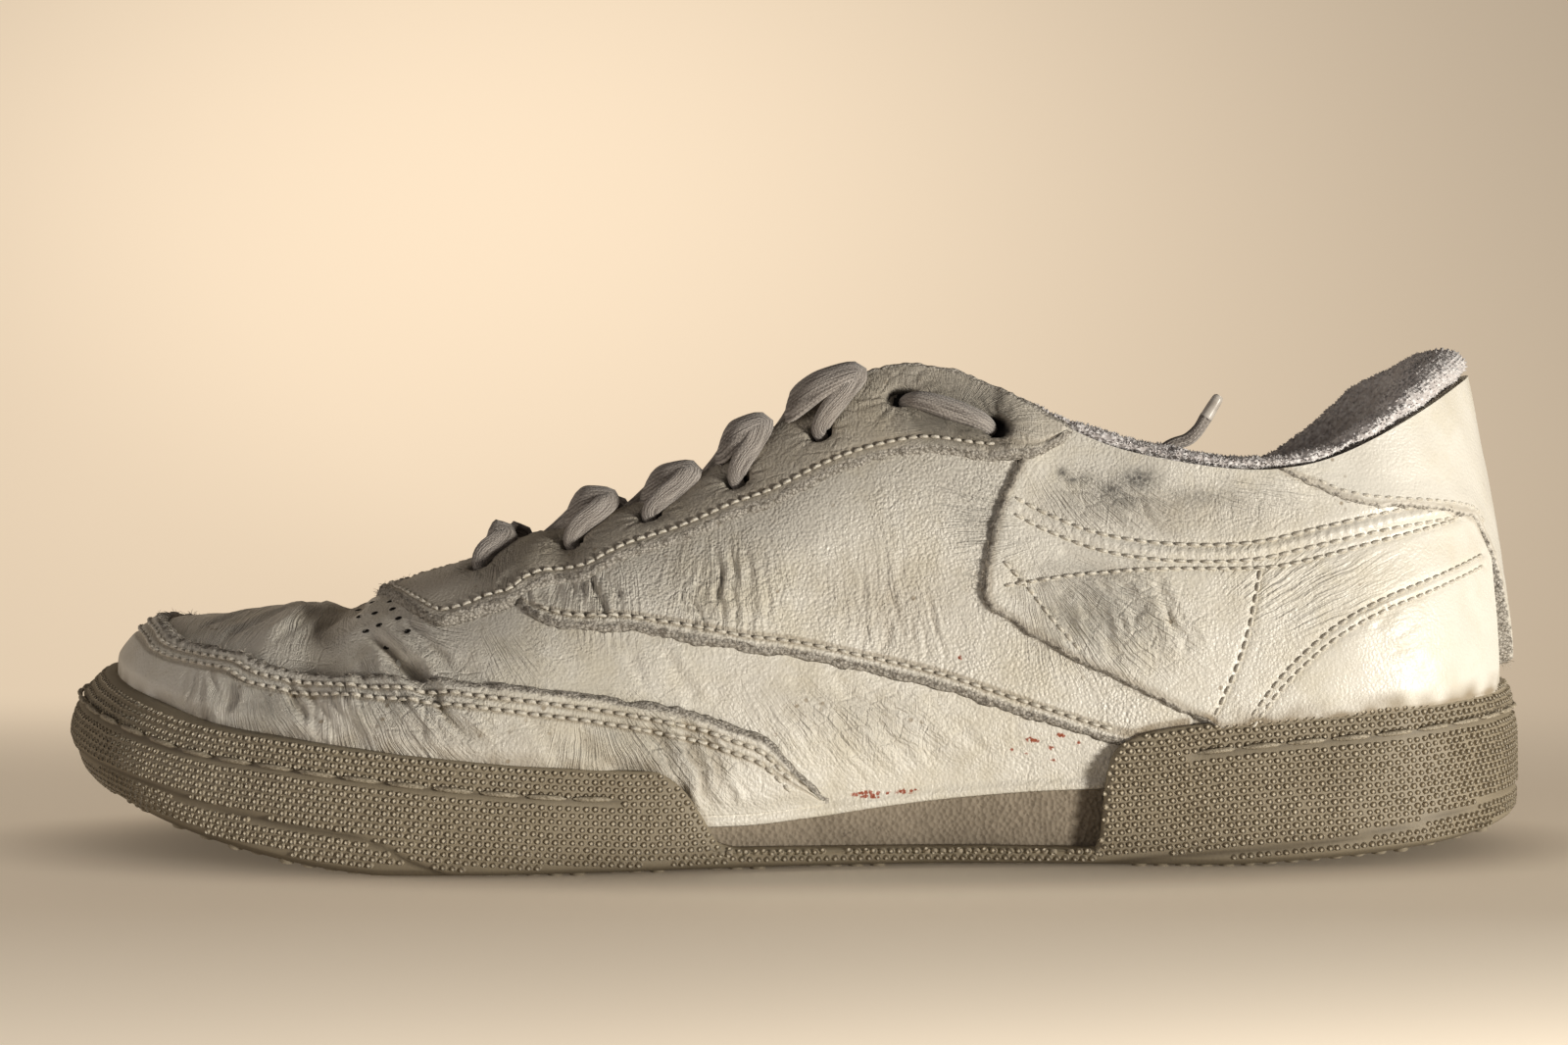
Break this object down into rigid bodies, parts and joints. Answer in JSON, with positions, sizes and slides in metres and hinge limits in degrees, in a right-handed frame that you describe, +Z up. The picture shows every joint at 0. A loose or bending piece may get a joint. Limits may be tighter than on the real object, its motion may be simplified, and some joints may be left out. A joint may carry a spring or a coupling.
{
  "type": "worn sneaker",
  "caption": "Worn low-top leather court sneaker for a right foot, on a rubber cup sole with arch windows, laced, with a padded terry collar.",
  "frame": {"origin": "on the underside of the outsole, under the middle of the shoe, on the plane it stands on", "axes": "+X from the toe to the heel, +Y to the outer (lateral) side of the right foot, +Z up"},
  "size_m": [0.2985, 0.1103, 0.1014],
  "materials": {
    "leather": "worn, creased, satin",
    "rubber": "dirty, matt, dimpled",
    "foam": "matt foam",
    "terry": "looped terry",
    "footbed": "worn cloth",
    "cotton": "flat woven cotton",
    "plastic": "satin"
  },
  "bodies": {
    "root": {"outsole": "rubber", "midsole": "foam", "insole": "footbed", "upper": "leather", "mudguard": "leather", "eyestay": "leather", "quarter_medial": "leather", "quarter_lateral": "leather", "heel_tab": "leather", "collar_lining": "terry", "tongue": "terry", "lace_bar_low": "cotton", "lace_cross_1": "cotton", "lace_cross_2": "cotton", "lace_cross_3": "cotton", "lace_cross_4": "cotton", "lace_bar_top": "cotton", "lace_runner_medial": "cotton", "lace_runner_lateral": "cotton", "lace_end": "cotton", "aglet": "plastic"}
  },
  "joints": []
}
